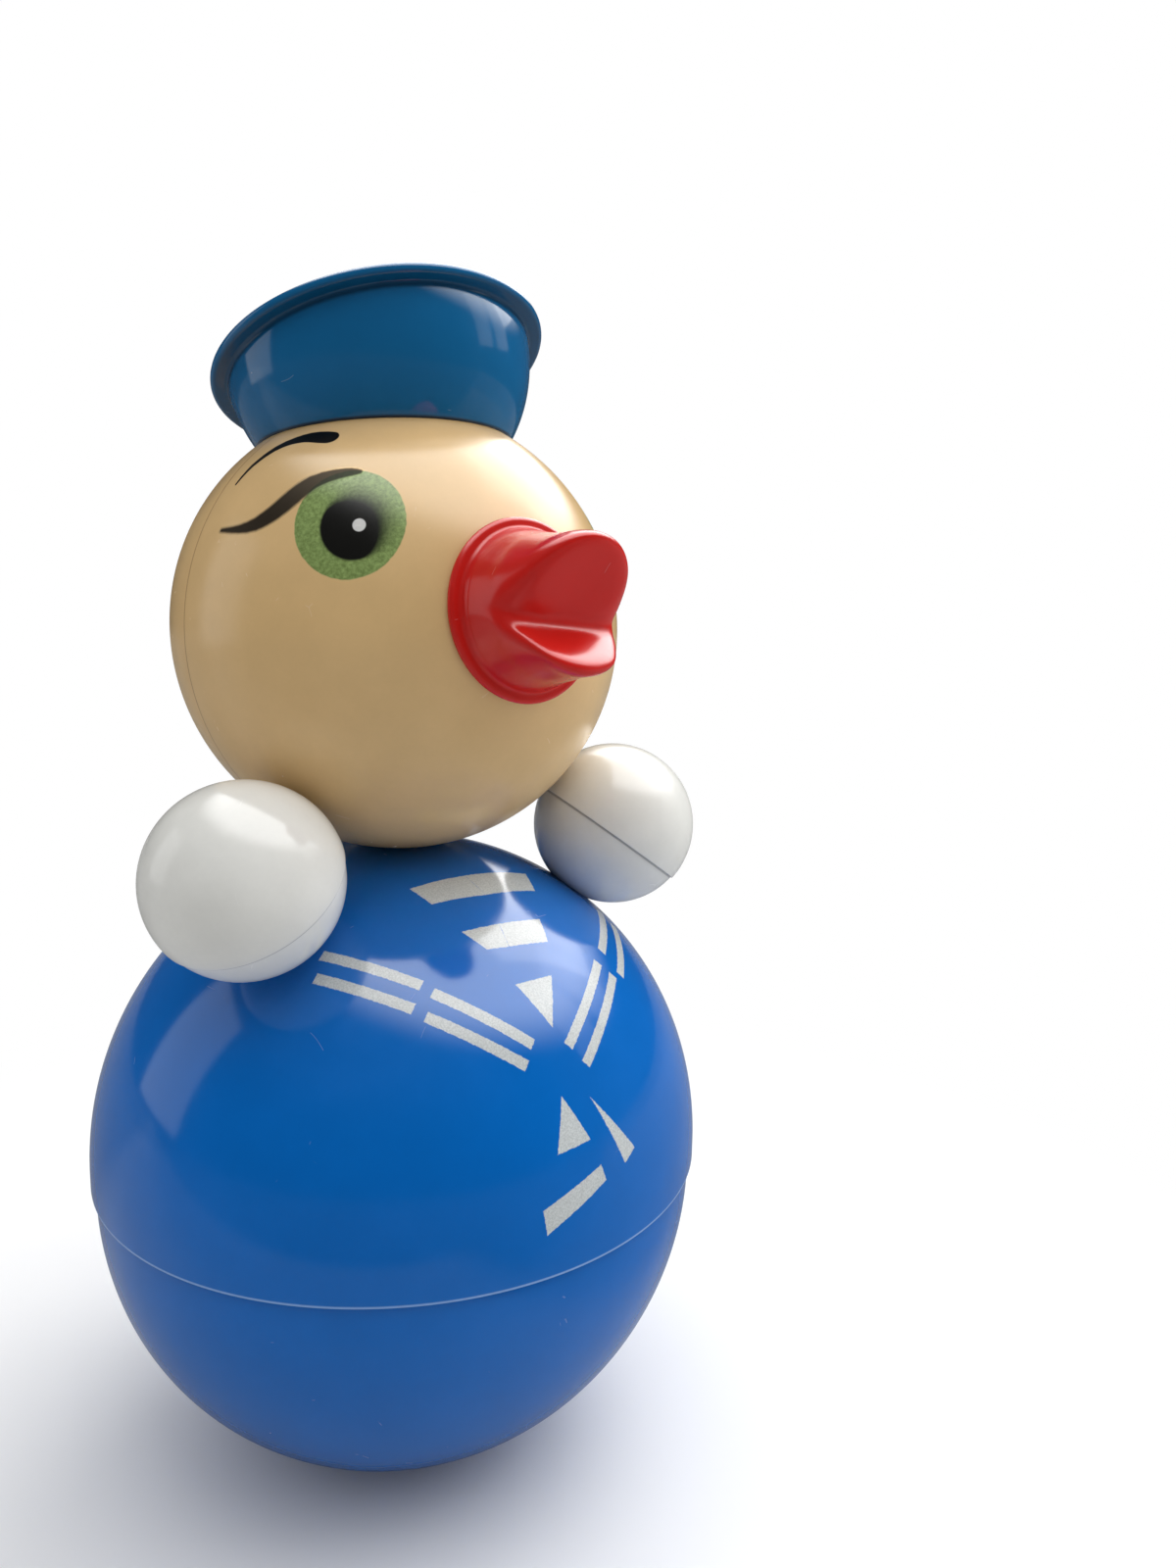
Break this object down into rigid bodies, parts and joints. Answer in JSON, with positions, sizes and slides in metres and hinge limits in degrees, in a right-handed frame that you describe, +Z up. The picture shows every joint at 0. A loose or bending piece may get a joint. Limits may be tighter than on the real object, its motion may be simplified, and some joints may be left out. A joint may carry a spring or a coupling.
{
  "type": "roly poly toy",
  "caption": "Hollow plastic roly poly duckling in sailor dress: ball body over a cast weight that rights it, chime rods struck by a hanging hammer, ball head with bill, ball arms, tilted cap.",
  "frame": {"origin": "the resting point under the ball body, on the surface that it stands on", "axes": "+Z up through the body and the head, the bill points to -Y, the toy's left arm is at +X"},
  "size_m": [0.15, 0.15, 0.2845],
  "materials": {
    "body_blue": "glossy moulded plastic with spray-painted white marks",
    "cap_blue": "glossy moulded plastic",
    "cream": "glossy moulded plastic with painted eyes",
    "bill_red": "glossy moulded plastic",
    "arm_white": "glossy moulded plastic",
    "steel": "drawn and turned steel",
    "iron": "as cast",
    "inner_plastic": "plain moulded plastic, unpainted"
  },
  "bodies": {
    "toy": {"body_lower_shell": "body_blue", "body_upper_shell": "body_blue", "ballast_weight": "iron", "chime_base": "inner_plastic", "chime_bridge": "inner_plastic", "chime_screws": "steel", "chime_rods": "steel", "hanger_pin": "steel", "neck_plug": "inner_plastic", "neck_ring": "inner_plastic", "head_front_shell": "cream", "head_rear_shell": "cream", "beak": "bill_red", "cap_bowl": "cap_blue", "cap_top": "cap_blue", "left_arm_outer": "arm_white", "left_arm_inner": "arm_white", "right_arm_outer": "arm_white", "right_arm_inner": "arm_white"},
    "link": {"hanger_link": "inner_plastic"},
    "striker": {"striker": "steel", "striker_pin": "steel"}
  },
  "joints": [
    {"name": "hanger_swing", "type": "hinge", "parent": "toy", "child": "link", "pos_m": [0, 0, 0.096], "axis": [1, 0, 0], "range_deg": [-16.6, 16.6]},
    {"name": "striker_swing", "type": "hinge", "parent": "link", "child": "striker", "pos_m": [0, 0, 0.084], "axis": [0, 1, 0], "range_deg": [-22.8, 22.8]}
  ]
}
